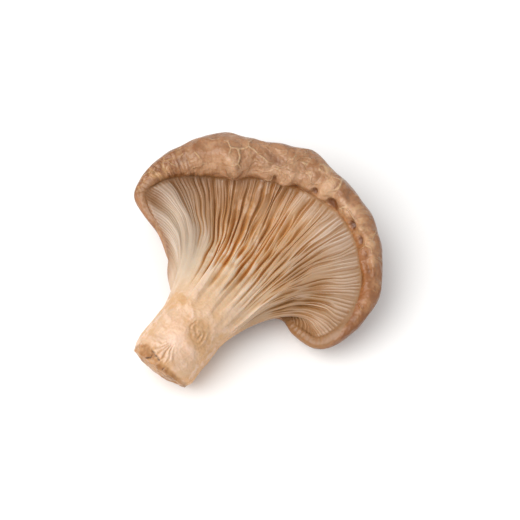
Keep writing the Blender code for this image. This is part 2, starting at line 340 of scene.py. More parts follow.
def ring_spline(knots, values, at):
    """A smooth closed curve through the values at knots, in degrees of turn, read at other turns."""
    knots = np.append(knots, knots[0] + 360.0)
    values = np.vstack([values, values[:1]])
    step = np.diff(knots)
    slope = np.diff(values, axis=0) / step[:, None]
    before, step_before = np.roll(slope, 1, axis=0), np.roll(step, 1)
    tangent = (before * step[:, None] + slope * step_before[:, None]) / (step + step_before)[:, None]
    tangent = np.vstack([tangent, tangent[:1]])
    at = (at - knots[0]) % 360.0 + knots[0]
    i = np.clip(np.searchsorted(knots, at, side="right") - 1, 0, len(step) - 1)
    u = ((at - knots[i]) / step[i])[:, None]
    h = step[i][:, None]
    return (
        values[i] * (2 * u**3 - 3 * u**2 + 1)
        + tangent[i] * h * (u**3 - 2 * u**2 + u)
        + values[i + 1] * (3 * u**2 - 2 * u**3)
        + tangent[i + 1] * h * (u**3 - u**2)
    )


def bezier(a, b, c, d, u):
    return (1 - u) ** 3 * a + 3 * u * (1 - u) ** 2 * b + 3 * u**2 * (1 - u) * c + u**3 * d


def smooth(start, end, value):
    """0 at start and 1 at end, whichever is the greater, with a soft change between."""
    x = np.clip((value - start) / (end - start), 0.0, 1.0)
    return x * x * (3 - 2 * x)


def bump(value, middle, width):
    """1 at the middle, falling evenly to nothing on both sides."""
    return np.exp(-(((value - middle) / width) ** 2))


def beyond(turns, left, right):
    """1 beyond the left turns and before the right ones, and 0 between them."""
    return np.clip(smooth(*left, turns) + 1 - smooth(*right, turns), 0.0, 1.0)


def unit(vectors):
    return vectors / np.linalg.norm(vectors, axis=-1, keepdims=True)


def rough(points, size, place=0.0):
    """Smooth noise of about this size, read at each point: one number each, mostly within 0.5 of 0."""
    shift = Vector((place, place * 1.7, -place))
    return np.array([noise.noise(Vector(p / size) + shift) for p in points])


def rough_along(first, share, last, place=0.0):
    """Smooth noise read at two numbers for each line, with one for the whole ring between them."""
    return rough(np.column_stack([first, np.full(len(first), share), last]), 1.0, place)


def uneven(points, noises):
    """The sum of noises, each with its height and size in millimetres and its place."""
    return sum(height * MM * rough(points, size * MM, place) for height, size, place in noises)


def lumps(points):
    """The swellings that the solid has too."""
    return LUMP_HEIGHT * rough(points, LUMP_SIZE)[:, None]


class Skin:
    """The smooth form, before gills: a point for each turn and each distance along its line."""

    def __init__(self, turns):
        self.turns = turns
        stations = np.column_stack([RIM[:, 1:8], RIM[:, 8] - RIM[:, 0]])
        steps = (0.0, 0.5, -0.5)
        rows, ahead, behind = (ring_spline(RIM[:, 0], stations, turns + step) for step in steps)
        self.middle = rows[:, :3] * MM
        self.roll = rows[:, 3:4] * MM
        heading, slope, self.seat = np.radians(rows[:, 4:7]).T[:, :, None]
        level = np.cos(slope)
        self.arrival = np.hstack([np.cos(heading) * level, np.sin(heading) * level, np.sin(slope)])
        self.neck_angle = np.radians(rows[:, 7:8] + turns[:, None])
        along = unit(ahead[:, :2] - behind[:, :2])
        self.out = np.column_stack([along[:, 1], -along[:, 0], 0 * turns])
        self.axis = unit(NECK_CENTRE - CUT_CENTRE)
        self.left = unit(np.cross(UP, self.axis))
        self.top = np.cross(self.axis, self.left)

    def across(self, angle):
        """A unit direction in the upright plane across the rim."""
        return np.cos(angle) * self.out + np.sin(angle) * UP

    def stem(self, share):
        """A ring of the stem, share 0 at the cut end and 1 at the neck."""
        centre = CUT_CENTRE + (NECK_CENTRE - CUT_CENTRE) * share
        radius = CUT_RADIUS + (NECK_RADIUS - CUT_RADIUS) * share
        radius = radius * (1 - CUT_ROUNDING * smooth(CUT_ROUNDED_SHARE, 0.0, share))
        high = radius * (1 - (1 - NECK_HEIGHT_SHARE) * share) * np.cos(self.neck_angle)
        side = radius * np.sin(self.neck_angle)
        lean = (1 - share) ** 3 * math.tan(CUT_LEAN) * high
        across = side * self.left + high * self.top
        swell = STEM_LUMPS * (1 - share) * lumps(centre + across)
        return centre + across + unit(across) * swell + lean * self.axis

    def cut_face(self, share):
        """A ring of the cut face, share 0 at its middle and 1 at its edge."""
        edge = self.stem(0.0)
        centre = edge.mean(axis=0)
        return centre + (edge - centre) * share - CUT_BULGE * (1 - share**2) * self.axis

    def gill_side(self, share):
        """From the neck, share 0, to the seat on the roll, share 1."""
        neck = self.stem(1.0)
        side = NECK_FLARE_SIDE * np.sin(self.neck_angle) * self.left
        rise = NECK_FLARE_UP * np.cos(self.neck_angle) * self.top
        seat = self.middle + self.roll * self.across(self.seat)
        reach = np.linalg.norm(seat - neck, axis=1, keepdims=True)
        leaving = neck + NECK_REACH * reach * (self.axis + side + rise)
        return bezier(neck, leaving, seat - RIM_REACH * reach * self.arrival, seat, share)

    def roll_end(self):
        """Where the roll gives way to the back: low on the outside, and flat under the stem."""
        under = np.clip((math.pi / 2 - self.seat) / math.radians(140), 0.0, 1.0)
        return ROLL_END + (ROLL_END_UNDER_STEM - ROLL_END) * under

    def roll_outwards(self, share):
        return self.across(self.seat + (self.roll_end() - self.seat) * share)

    def thickness(self):
        """The roll's thickness at each line, as a share of its thickest."""
        return self.roll / (RIM[:, 4].max() * MM)

    def rolled_rim(self, share):
        """Over the roll, share 0 at the seat of the gill side and 1 at the back."""
        outwards = self.roll_outwards(share)
        surface = self.middle + self.roll * outwards
        return surface + outwards * lumps(surface) * self.thickness() * smooth(0.0, 0.2, share)

    def back(self, share):
        """From the roll, share 0, down and in to the pole on the back of the cap, share 1."""
        end = self.roll_end()
        start = self.middle + self.roll * self.across(end)
        swell = (self.rolled_rim(1.0) - start) * smooth(0.4, 0.0, share)
        down = np.sin(end) * self.out - np.cos(end) * UP
        reach = np.linalg.norm(start - BACK_POLE, axis=1, keepdims=True)
        outwards = unit((start - BACK_POLE) * [1.0, 1.0, 0.0])
        leaving = start + BACK_REACH_OUT * reach * down
        coming = BACK_POLE + BACK_REACH_IN * reach * outwards
        return bezier(start, leaving, coming, BACK_POLE, share) + swell


def normals(before, here, after):
    """Unit normals of the net at one ring, from the rings on each side of it."""
    round_rim = np.roll(here, -1, axis=0) - np.roll(here, 1, axis=0)
    return unit(np.cross(after - before, round_rim))


def ease_on_table(points):
    """Flattens what would be below the table, with a soft edge round the flat."""
    z = points[:, 2]
    soft = (np.maximum(z, -TABLE_EASE) + TABLE_EASE) ** 2 / (4 * TABLE_EASE)
    eased = np.where(z < TABLE_EASE, soft, z)
    return np.column_stack([points[:, :2], eased])


def valley_starts():
    """For each valley, the share of its line at which it begins."""
    random = np.random.default_rng(SEED)
    scatter = random.uniform(-START_SCATTER, START_SCATTER, GILLS)
    return np.array(VALLEY_START)[GILL_RANK] + scatter * (GILL_RANK > 0)


def line_turns():
    """The turn of every line: a few to each gill, then those across the underside of the stem."""
    places = (np.arange(GILLS)[:, None] + np.array(LINES_OF_GILL)).ravel()
    gills = FIRST_GILL_TURN + GILL_GAP * places
    flank = np.linspace(LAST_GILL_TURN, FIRST_GILL_TURN + 360, FLANK_LINES, endpoint=False)
    return np.concatenate([gills, flank])


class Gills:
    """The relief of the gill side, by the place of each line among the valleys."""

    def __init__(self, turns):
        self.turns = turns
        self.place = (turns - FIRST_GILL_TURN) / GILL_GAP
        random = np.random.default_rng(SEED + 1)
        self.starts = valley_starts()
        past_right = smooth(*PAST_RIGHT, FIRST_GILL_TURN + GILL_GAP * np.arange(GILLS))
        self.long = GILL_RANK == 0
        self.middling = (GILL_RANK == 2) * past_right
        fine = (GILL_RANK % 2) * (0.5 + 0.38 * past_right)
        self.strength = random.uniform(0.5, 1.35, GILLS) * (1 - fine) + 0.15 * self.long
        self.width = random.uniform(0.7, 1.5, GILLS) * (1 + 0.6 * self.long)
        self.one_sided = random.uniform(0.5, 1.9, GILLS)
        self.sideways = random.uniform(0.0, 100.0, GILLS)

    def begun(self, share):
        """How far each valley has opened at this share: 0 where closed, and 1.4 at most."""
        patchy = rough_along(self.sideways, share * 7.0, self.sideways)
        since = share - self.starts
        opened = np.where(self.long, smooth(-0.10, 0.30, since), smooth(-0.03, 0.16, since))
        fewer = 1 - 0.45 * self.middling * smooth(0.7, 0.42, share)
        return opened * fewer * np.clip(self.strength + 1.5 * patchy, 0.1, 1.4)

    def spacing(self, here):
        """The gap from valley to valley at each line of this ring."""
        step = np.linalg.norm(np.roll(here, -1, axis=0) - here, axis=1)
        along = np.concatenate([[0.0], np.cumsum(step)])
        each = len(LINES_OF_GILL)
        count = GILLS * each
        length = along[each : count + 1 : each] - along[:count:each]
        return np.interp(self.place, np.arange(GILLS) + 0.5, length)

    def valleys(self, share, gap, region):
        """The depth of the valleys at each line, 0 on a crest, and fine grooves."""
        begun = self.begun(share)
        depth = np.zeros(len(self.turns))
        groove = np.zeros(len(self.turns))
        nearest = np.floor(self.place).astype(int)
        together = RUN_TOGETHER ** smooth(0.6, 0.2, share)
        for step in (-2, -1, 0, 1, 2, 3):
            k = nearest + step
            real = (k >= 0) & (k < GILLS)
            k = np.clip(k, 0, GILLS - 1)
            away = (self.place - k) * gap
            side = self.one_sided[k] ** np.sign(away)
            width = np.maximum(VALLEY_WIDTH * self.width[k] * side, NARROWEST_FOOT)
            narrow = np.exp(-((away / width) ** 2))
            broad = np.exp(-((away / (VALLEY_SLOPE_WIDTH * gap * together * side**0.7)) ** 2))
            foot = np.minimum(VALLEY_SHARPNESS * begun[k] * region, FOOT_STEEPNESS * width)
            slope = (1 - VALLEY_SHARPNESS) * begun[k] * region
            depth = np.maximum(depth, real * (foot * narrow + slope * broad))
            groove = np.maximum(groove, real * narrow)
        return depth, groove

    def crests(self, share):
        """1 on the thin edge between two valleys that have both begun."""
        begun = self.begun(share)
        k = np.clip(np.floor(self.place).astype(int), 0, GILLS - 2)
        both = np.maximum(begun[k] * begun[k + 1], 0.0) ** 0.3
        inside = (self.place > 0) & (self.place < GILLS - 1)
        return inside * np.minimum(both, 1.0) * bump(self.place - k, 0.5, CREST_WIDTH)

    def region(self, share, gap):
        """The greatest depth here, as in the solid: less on the flank, at the rim and by the notch."""
        together = RUN_TOGETHER ** smooth(0.6, 0.2, share)
        depth = np.minimum(GILL_DEPTH, GILL_STEEPNESS * gap * together)
        along = smooth(0.0, 0.22, share) * (1 - (1 - RIM_RELIEF) * smooth(0.75, 1.0, share))
        notch = smooth(FIRST_GILL_TURN + 2, FIRST_GILL_TURN + 42, self.turns)
        flank = 1 - (1 - 0.5 * FLANK_RELIEF) * smooth(*LEFT_FLANK, self.turns)
        flank = flank - 0.5 * FLANK_RELIEF * smooth(90, LAST_GILL_TURN - 8, self.turns)
        right_rim = 1 - 0.7 * smooth(10, -25, self.turns) * smooth(0.6, 0.92, share)
        right_rim = right_rim * (1 - 0.9 * on_thin_rim(self.turns) * smooth(0.7, 1.0, share))
        faint = faint_left(self.turns) * smooth_neck(self.turns, share)
        return along * notch * flank * right_rim * self.middle(share) * faint * depth

    def middle(self, share):
        """Deepest in the middle of the fan, and shallow near the neck on the right of it."""
        right = smooth(15, -35, self.turns)
        near_neck = smooth(0.6, 0.2, share)
        return (1.15 - 0.25 * right) * (1 - (0.2 + 0.3 * right) * near_neck)


def on_lobe(turns):
    """1 on the lobe by the notch, where the gills go on over the thin rim."""
    return bump(turns, *LOBE)


def on_thin_rim(turns):
    """1 on the lobe and at the left corner, where the gill side goes over the edge without a step."""
    return np.maximum(on_lobe(turns), smooth(*THIN_CORNER, turns))


def smooth_neck(turns, share):
    """1 where the gills are full, and less beside the neck, where the flanks are almost smooth."""
    return 1 - 0.8 * beyond(turns, *NECK_FLANKS) * smooth(0.6, 0.3, share)


def faint_left(turns):
    """1 where the gills are full, and less at the left corner, where they are faint."""
    return 1 - 0.5 * smooth(*FAINT_CORNER, turns)


def sideways(points, place, share, gap):
    """Lets the gills wander a little to each side on their way."""
    gills = smooth(0.0, 6.0, place) * smooth(GILLS - 1.0, GILLS - 12.0, place)
    fade = smooth(0.03, 0.2, share) * smooth(1.0, 0.9, share) * gills
    along = unit(np.roll(points, -1, axis=0) - np.roll(points, 1, axis=0))
    stray = rough_along(place / 4.0, share * 6.0, place / 9.0)
    return points + along * (WANDER * gap * fade * stray)[:, None]


def gill_ring(skin, gills, share):
    """One ring of the gill side with its relief, and the masks that the relief sets for the colour: the
    valley tint, partly painted shade, the grooves, and painted highlights on the crests.
    """
    turns = skin.turns
    here = skin.gill_side(share)
    outwards = normals(skin.gill_side(share - SMALL_SHARE), here, skin.gill_side(share + SMALL_SHARE))
    gap = gills.spacing(here)
    region = gills.region(share, gap)
    depth, groove = gills.valleys(share, gap, region)
    ends = smooth(0.02, 0.12, share) * (1 - smooth(0.97, 1.0, share) * (1 - on_lobe(turns)))
    lobe = 1 + 2.0 * on_lobe(turns) * smooth(0.45, 0.65, share)
    fine = FINE_GROOVE * lobe * groove * ends * smooth(0.2, 0.5, gap / MM)
    neck = smooth_neck(turns, share)
    folds = neck * rough_along(gills.place / FOLD_GILLS, 1.6 * share, gills.place / 31.0, 3.0)
    fillet = RIM_FILLET * on_thin_rim(turns) * bump(share, 1.0, 0.10)
    rise = 0.5 * region - depth - fine + FOLD_HEIGHT * ends * folds + fillet + marks_relief(here)
    moved = sideways(here, gills.place, share, gap)
    # How strong the painted highlight is along the crests and on the tops of the folds.
    crest = 0.9 * gills.crests(share) + 0.7 * smooth(0.0, 0.4, folds) * ends
    marks = {
        "valley": VALLEY_TINT_AND_SHADE * depth / (region + TINT_REGION),
        "groove": groove * ends * np.minimum(1.0, 0.4 * lobe) * faint_left(turns) * neck,
        "crest": np.minimum(crest, 1.0) * neck**2,
    }
    return moved + outwards * rise[:, None], marks


def gill_warmth(turns, share):
    """How orange the valleys are: most in the middle of the fan."""
    return bump(turns, *WARM_GILLS) * smooth(0.2, 0.45, share)


def gill_whiteness(turns, share):
    """The gills are whiter on the left side."""
    return smooth(*WHITE_GILLS, turns) * (1 - 0.8 * smooth(0.6, 1.0, share))


def gill_dullness_and_shade(turns, share):
    """How much duller and darker the gills are than by the neck, at the flanks, the rim and the lobe:
    partly duller gills and partly painted shade.
    """
    left = 0.75 * smooth(40, 95, turns) * smooth(-0.1, 0.5, share)
    right = 0.8 * smooth(15, -45, turns) * smooth(0.25, 0.7, share) * (1 - 0.5 * on_lobe(turns))
    low = smooth(-45, -95, turns) * smooth(-0.1, 0.25, share) * smooth(0.8, 0.4, share)
    rim = 0.25 * smooth(0.7, 1.0, share)
    return np.clip(left + right + low + rim, 0.0, 1.0)


def painted_gill_shade(turns, share):
    """Painted shade that browns the gills under the thick far rim, at the left corner and edge, on the
    lobe and on the right.
    """
    under_rim = 1.05 * bump(turns, *UNDER_THICK_RIM) * smooth(0.44, 0.97, share)
    edge = 0.3 * smooth(0.88, 1.0, share)
    corner = 0.45 * bump(turns, *UNDER_CORNER) * smooth(0.62, 1.0, share)
    lobe = 0.35 * bump(turns, *SHADED_LOBE) * smooth(0.45, 0.75, share)
    right = 0.3 * smooth(20, -40, turns) * smooth(0.35, 0.7, share)
    left_edge = 0.5 * smooth(96, 112, turns) * smooth(0.72, 1.0, share)
    return np.clip(under_rim + edge + corner + lobe + right + left_edge, 0.0, 1.0)


def skin_painted_shade(turns):
    """Painted shade: how much darker the skin is than at the far rim, on the right, the lobe and the left
    corner.
    """
    return np.clip(bump(turns, *DARK_RIGHT) + bump(turns, *DARK_LEFT), 0.0, 1.0)


def skin_shadow(turns, share):
    """Painted shadow: the darker brown along the inner edge of the roll, wider on the right."""
    right = bump(turns, *BAND_RIGHT)
    strength = (0.45 + 0.45 * right) * (1 - 0.8 * on_lobe(turns))
    return strength * smooth(0.16 + 0.36 * right, 0.2 * right, share)


def skin_on_gills(turns, share):
    """The brown skin laps a little over the thin edge on the flanks."""
    return 0.3 * beyond(turns, *THIN_FLANKS) * smooth(0.8, 1.0, share)


def skin_on_roll(turns, share):
    """The skin begins at the inner edge of the roll, but close to its outer edge on the lobe."""
    start = 0.9 * bump(turns, *BARE_LOBE) + 0.12 * bump(turns, *BARE_SPOT)
    flanks = beyond(turns, *SKIN_FLANKS)
    soft = 0.05 + 0.5 * flanks + 0.15 * on_lobe(turns) + 0.4 * bump(turns, *SOFT_CORNER)
    return np.maximum(smooth(start - 0.03, start + soft, share), 0.3 * flanks)


def across_marks(points, centre):
    """How far each point lies to the right of a mark's centre and away from it, seen square on."""
    away = points - centre
    return away @ MARKS_RIGHT, away @ MARKS_AWAY


def on_top(points):
    """The marks are on the upper side only."""
    return smooth(7.0 * MM, 10.0 * MM, points[:, 2])


def cracks(points):
    """The depth of the cracks of the cut end at each point."""
    depth = np.zeros(len(points))
    for one, other, half_width, deepest in CRACKS:
        right, away = across_marks(points, np.array(one) * MM)
        long_right, long_away = across_marks(np.array(other) * MM, np.array(one) * MM)
        share = (right * long_right + away * long_away) / (long_right**2 + long_away**2)
        share = np.clip(share, 0.0, 1.0)
        off = np.hypot(right - share * long_right, away - share * long_away)
        depth = np.maximum(depth, deepest * MM * np.exp(-((off / (half_width * MM)) ** 2)))
    return depth * on_top(points)


def scar(points):
    """1 in the tan scar on the stem and 0 round it, and how far its rings rise."""
    right, away = across_marks(points, SCAR_CENTRE)
    reach = np.hypot(right, away / SCAR_LENGTH) + SCAR_WOBBLE * rough(points, 3.0 * MM, 31.0)
    inside = smooth(1.2 * SCAR_REACH, 0.55 * SCAR_REACH, reach) * on_top(points)
    turn = np.arctan2(away, right)
    rings = np.cos(2 * math.pi * reach / SCAR_RING + turn + 2.5 * rough(points, 2.2 * MM, 43.0))
    return inside * (0.7 - 0.3 * rings), SCAR_HEIGHT * inside * (rings - 1)


def fan(points):
    """The pale patch by the cut end and its creases, each 1 where full, and how far they rise."""
    right, away = across_marks(points, FAN_CENTRE)
    reach = np.hypot(right, away)
    angle = np.arctan2(away, right) % (2 * math.pi)
    blades = np.cos(FAN_BLADES * angle + 3 * rough(points, 3.0 * MM, 37.0))
    spread = bump(angle, FAN_MIDDLE, FAN_SPREAD) * on_top(points)
    inside = spread * smooth(0.12 * FAN_REACH, 0.35 * FAN_REACH, reach)
    inside = inside * smooth(FAN_REACH, 0.85 * FAN_REACH, reach + 0.8 * MM * blades)
    patch = bump(reach, 0.0, 0.85 * FAN_REACH) * on_top(points)
    rise = inside * (FAN_CREASE * blades + FAN_SWELLING) + FAN_SWELLING * patch
    return patch, inside * smooth(0.2, -1.0, blades), rise


def marks_relief(points):
    return scar(points)[1] + fan(points)[2]


def cut_edge(turns):
    """How far up the stem the cut reaches, as a share of its length."""
    return 0.07 + 0.12 * bump(turns, 55.0, 30.0)


def stem_relief(points):
    """Fibres along the stem, and small swellings between them."""
    return uneven(points * FIBRE_STRETCH, STEM_FIBRES) + uneven(points, STEM_UNEVEN)


def stem_ring(skin, share):
    """A ring of the stem with its relief, how far it is in the cut, and how deep its cracks are."""
    here = skin.stem(share)
    outwards = normals(skin.stem(share - 0.02), here, skin.stem(share + 0.02))
    ends = smooth(-0.05, 0.15, share) * smooth(1.0, 0.85, share)
    crack = cracks(here)
    rise = ends * stem_relief(here) - crack + marks_relief(here)
    on_cut = smooth(0.02, -0.02, share - cut_edge(skin.turns) - 0.03 * rough(here, 2.5 * MM, 41.0))
    return here + outwards * rise[:, None], on_cut, crack


def cut_ring(skin, share):
    """A ring of the cut face, uneven and cracked."""
    here = skin.cut_face(share)
    inside = smooth(1.0, 0.86, share)
    crack = cracks(here)
    return here + skin.axis * (inside * (uneven(here, CUT_UNEVEN) + 0.25 * MM) + crack)[:, None], crack


def roll_relief(skin, points, share):
    """Lumps, cross wrinkles, scallops, dimples and swellings of the rolled rim."""
    thick = skin.thickness()[:, 0]
    inner = 1 - 0.7 * smooth(0.35, 0.75, share)
    middling = inner * uneven(points, ROLL_UNEVEN)
    turns = skin.turns
    corner = bump(turns, *CROSS_WRINKLES) * smooth(0.5, 0.1, share)
    wrinkles = WRINKLE_HEIGHT * corner * rough_along(turns / WRINKLE_TURNS, share * 1.5, turns / 7.0, 2.0)
    right = bump(turns, *SCALLOPS) * bump(share, 0.1, 0.22)
    scallops = SCALLOP_HEIGHT * right * rough_along(turns / SCALLOP_TURNS, share, turns / 20.0, 9.0)
    pits = np.zeros(len(points))
    for turn, place, wide, depth in DIMPLES:
        pits += depth * MM * bump(turns, turn, wide) * bump(share, place, DIMPLE_LENGTH * wide)
    for turn, place, wide, height in SWELLINGS:
        pits -= height * MM * bump(turns, turn, wide) * bump(share, place, SWELLING_LENGTH * wide)
    return thick**0.5 * middling + wrinkles + scallops - pits


def roll_ring(skin, share, groove):
    """A ring over the roll, lumpy, and grooved where the gills go on over the lobe."""
    here = skin.rolled_rim(share)
    outwards = skin.roll_outwards(share)
    ends = smooth(0.0, 0.08, share) * smooth(1.0, 0.93, share)
    rise = ends * roll_relief(skin, here, share)
    fillet = RIM_FILLET * on_thin_rim(skin.turns) * bump(share, 0.0, 0.22)
    return here + outwards * (rise - LOBE_GROOVE * groove + fillet)[:, None], rise


def stitch(near, far, faces):
    """Faces between two rings of vertex numbers, one of which may have a multiple of the other's."""
    flip = len(near) > len(far)
    coarse, fine = (far, near) if flip else (near, far)
    ratio = len(fine) // len(coarse)
    for i in range(len(coarse)):
        a, b = coarse[i], coarse[(i + 1) % len(coarse)]
        run = [fine[(i * ratio + k) % len(fine)] for k in range(ratio + 1)]
        half = ratio // 2
        made = [(a, run[k + 1], run[k]) for k in range(half)]
        made.append((a, b, run[half]))
        made += [(b, run[k + 1], run[k]) for k in range(half, ratio)]
        if ratio == 1:
            made = [(a, b, run[1], run[0])]
        faces.extend(face[::-1] if flip else face for face in made)


class Net:
    """The rings of the whole skin with what the material needs to know at each point."""

    def __init__(self):
        self.points = []
        self.masks = {name: [] for name in RING_MASKS}
        self.along = {}
        self.rings = []
        self.count = 0

    def add(self, points, stride, **masks):
        kept = points[::stride]
        self.points.append(kept)
        self.rings.append(list(range(self.count, self.count + len(kept))))
        self.count += len(kept)
        for name in RING_MASKS:
            value = masks.get(name, self.along.get(name, 0.0))
            self.masks[name].append(np.broadcast_to(value, len(points))[::stride])


def even_shares(count):
    return np.linspace(0.0, 1.0, count, endpoint=False)


def mushroom_net():
    turns = line_turns()
    skin = Skin(turns)
    gills = Gills(turns)
    net = Net()
    net.along = {"along_far": np.cos(np.radians(turns)), "along_left": np.sin(np.radians(turns))}
    for share in even_shares(CUT_RINGS)[1:] ** 0.6:
        points, crack = cut_ring(skin, share)
        net.add(points, MEDIUM, cut=1.0, crack=crack / MM, stem=1.0)
    for share in even_shares(STEM_RINGS) ** 1.3:
        points, on_cut, crack = stem_ring(skin, share)
        net.add(points, MEDIUM, cut=on_cut, crack=crack / MM, stem=1.0)
    for share in even_shares(GILL_RINGS):
        points, marks = gill_ring(skin, gills, share)
        net.add(
            points,
            FINE,
            **marks,
            warm=gill_warmth(turns, share),
            white=gill_whiteness(turns, share),
            shade=painted_gill_shade(turns, share),
            dim=gill_dullness_and_shade(turns, share),
            skin=skin_on_gills(turns, share),
            stem=smooth(0.3, 0.0, share),
        )
    last_groove = marks["groove"]
    for share in even_shares(ROLL_RINGS):
        groove = last_groove * on_lobe(turns) * smooth(0.9, 0.4, share)
        points, lump = roll_ring(skin, share, groove)
        brown = skin_on_roll(turns, share)
        rim_gill_dullness_and_shade = gill_dullness_and_shade(turns, 1.0)
        net.add(
            points,
            MEDIUM,
            groove=groove,
            shade=painted_gill_shade(turns, 1.0),
            dim=rim_gill_dullness_and_shade + (skin_painted_shade(turns) - rim_gill_dullness_and_shade) * brown,
            skin=brown,
            over=share,
            inner=skin_shadow(turns, share),
            lump=lump / MM,
        )
    for share in even_shares(BACK_RINGS):
        net.add(skin.back(share), COARSE, skin=1.0, over=1.0, dim=skin_painted_shade(turns) * (1 - share))
    return net


def inside_solid_box(points):
    """Draws the points in a little where the finer relief would stand out of the solid's own box."""
    low, high = (np.array(corner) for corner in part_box("oyster_mushroom"))
    middle = (low + high) / 2
    reach = np.abs(points - middle).max(axis=0)
    scale = np.minimum(1.0, ((high - low) / 2 - BOX_MARGIN) / reach)
    scale[2] = min(1.0, (high[2] - BOX_MARGIN) / points[:, 2].max())
    anchor = middle * [1.0, 1.0, 0.0]
    return anchor + (points - anchor) * scale


def mushroom_mesh():
    net = mushroom_net()
    centre = net.points[0].mean(axis=0)
    points = np.vstack(net.points + [centre[None, :], BACK_POLE[None, :]])
    points = inside_solid_box(ease_on_table(points) + STATION_ORIGIN)
    faces = []
    for near, far in zip(net.rings, net.rings[1:]):
        stitch(near, far, faces)
    first, last = net.rings[0], net.rings[-1]
    faces += [(net.count, first[(i + 1) % len(first)], first[i]) for i in range(len(first))]
    faces += [(net.count + 1, last[i], last[(i + 1) % len(last)]) for i in range(len(last))]
    mesh = bpy.data.meshes.new("mushroom_skin")
    mesh.from_pydata(points.tolist(), [], faces)
    table = points - STATION_ORIGIN
    blush, creases, _ = fan(table)
    # Painted shade on the low sides, towards the table.
    underside = smooth(18.5 * MM, 7.0 * MM, points[:, 2])
    masks = {}
    for name in RING_MASKS:
        ends = [net.masks[name][0][0], net.masks[name][-1][0]]
        masks[name] = np.concatenate(net.masks[name] + [ends])
    turns = np.degrees(np.arctan2(masks["along_left"], masks["along_far"]))
    wrinkled = np.minimum(0.12 + bump(turns, *WRINKLED_LEFT) + 0.45 * bump(turns, *WRINKLED_RIGHT), 1.0)
    over = masks["over"]
    swirled = bump(turns, *SWIRLED) * smooth(0.15, 0.3, over) * smooth(0.95, 0.7, over)
    masks.update(scar=scar(table)[0], blush=blush, fan_crease=creases)
    masks.update(underside=underside, wrinkled=wrinkled, swirled=swirled)
    for name, values in masks.items():
        mesh.attributes.new(name, "FLOAT", "POINT").data.foreach_set("value", values.astype(np.float32))
    mesh.shade_smooth()
    mesh.validate()
    return mesh


class Shading:
    """Short ways to add the nodes of one material."""

    def __init__(self, name):
        self.material = bpy.data.materials.new(name)
        self.material.use_nodes = True
        self.tree = self.material.node_tree
        self.shader = self.tree.nodes["Principled BSDF"]

    def put(self, value, socket):
        if isinstance(value, bpy.types.NodeSocket):
            self.tree.links.new(value, socket)
        else:
            socket.default_value = value

    def feed(self, node, inputs):
        """Gives a node its inputs by name: numbers, or the sockets that feed them."""
        for name, value in inputs.items():
            self.put(value, node.inputs[name])

    def node(self, kind, **inputs):
        node = self.tree.nodes.new("ShaderNode" + kind)
        self.feed(node, inputs)
        return node

    def mask(self, name):
        node = self.node("Attribute")
        node.attribute_name = name
        return node.outputs["Fac"]

    def places(self, stretch=(1.0, 1.0, 1.0)):
        """The point's own place, stretched for a texture."""
        own = self.node("TexCoord").outputs["Object"]
        return self.node("Mapping", Vector=own, Scale=stretch).outputs["Vector"]

    def noise(self, size, detail=3.0, where=None, colour=False, bend=0.0):
        """Smooth noise of this size in metres, about 0.5 on average."""
        where = where or self.places()
        node = self.node("TexNoise", Vector=where, Scale=1.0 / size, Detail=detail, Distortion=bend)
        return node.outputs["Color" if colour else "Fac"]

    def bent(self, where, amount, size):
        """The same places, moved about by noise."""
        push = self.vector("SUBTRACT", self.noise(size, 2.0, where, True), (0.5, 0.5, 0.5))
        return self.vector("ADD", where, self.vector("MULTIPLY", push, (amount, amount, amount)))

    def cracks(self, size, where):
        """The distance to the nearest edge of a net of cells, as a share of their size."""
        node = self.node("TexVoronoi", Vector=where, Scale=1.0 / size)
        node.feature = "DISTANCE_TO_EDGE"
        return node.outputs["Distance"]

    def across_roll(self, round_rim, over):
        """Places for a texture drawn out across the roll: so many to one turn, and so far over it."""
        per_radian = round_rim / (2 * math.pi)
        far = self.times(self.mask("along_far"), per_radian)
        left = self.times(self.mask("along_left"), per_radian)
        up = self.times(self.mask("over"), over)
        return self.node("CombineXYZ", X=far, Y=left, Z=up).outputs["Vector"]

    def combine(self, kind, operation, a, b):
        node = self.node(kind)
        node.operation = operation
        self.put(a, node.inputs[0])
        self.put(b, node.inputs[1])
        return node.outputs[0]

    def vector(self, operation, a, b):
        return self.combine("VectorMath", operation, a, b)

    def math(self, operation, a, b):
        return self.combine("Math", operation, a, b)

    def times(self, a, b):
        return self.math("MULTIPLY", a, b)

    def off_middle(self, value, scale):
        """A noise as a height with no rise on average."""
        return self.times(self.math("SUBTRACT", value, 0.5), scale)

    def rise(self, value, low, high, start=0.0, end=1.0):
        """A soft rise from start to end while value goes from low to high."""
        ends = {"From Min": low, "From Max": high, "To Min": start, "To Max": end}
        node = self.node("MapRange", Value=value, **ends)
        node.interpolation_type = "SMOOTHSTEP"
        return node.outputs["Result"]

    def mix(self, share, a, b, blend="MIX"):
        """Colour a where share is 0 and b where it is 1."""
        node = self.node("Mix")
        node.data_type = "RGBA"
        node.blend_type = blend
        self.put(share, node.inputs[0])
        for value, socket in ((a, node.inputs[6]), (b, node.inputs[7])):
            self.put((*value, 1.0) if isinstance(value, tuple) else value, socket)
        return node.outputs[2]

    def tint(self, base, where, strength, colour):
        """The base, drawn towards the colour with this strength where the mask is full."""
        return self.mix(self.times(where, strength), base, colour)

    def bump(self, height, distance, normal=None):
        node = self.node("Bump", Distance=distance, Height=height)
        if normal:
            self.feed(node, {"Normal": normal})
        return node.outputs["Normal"]


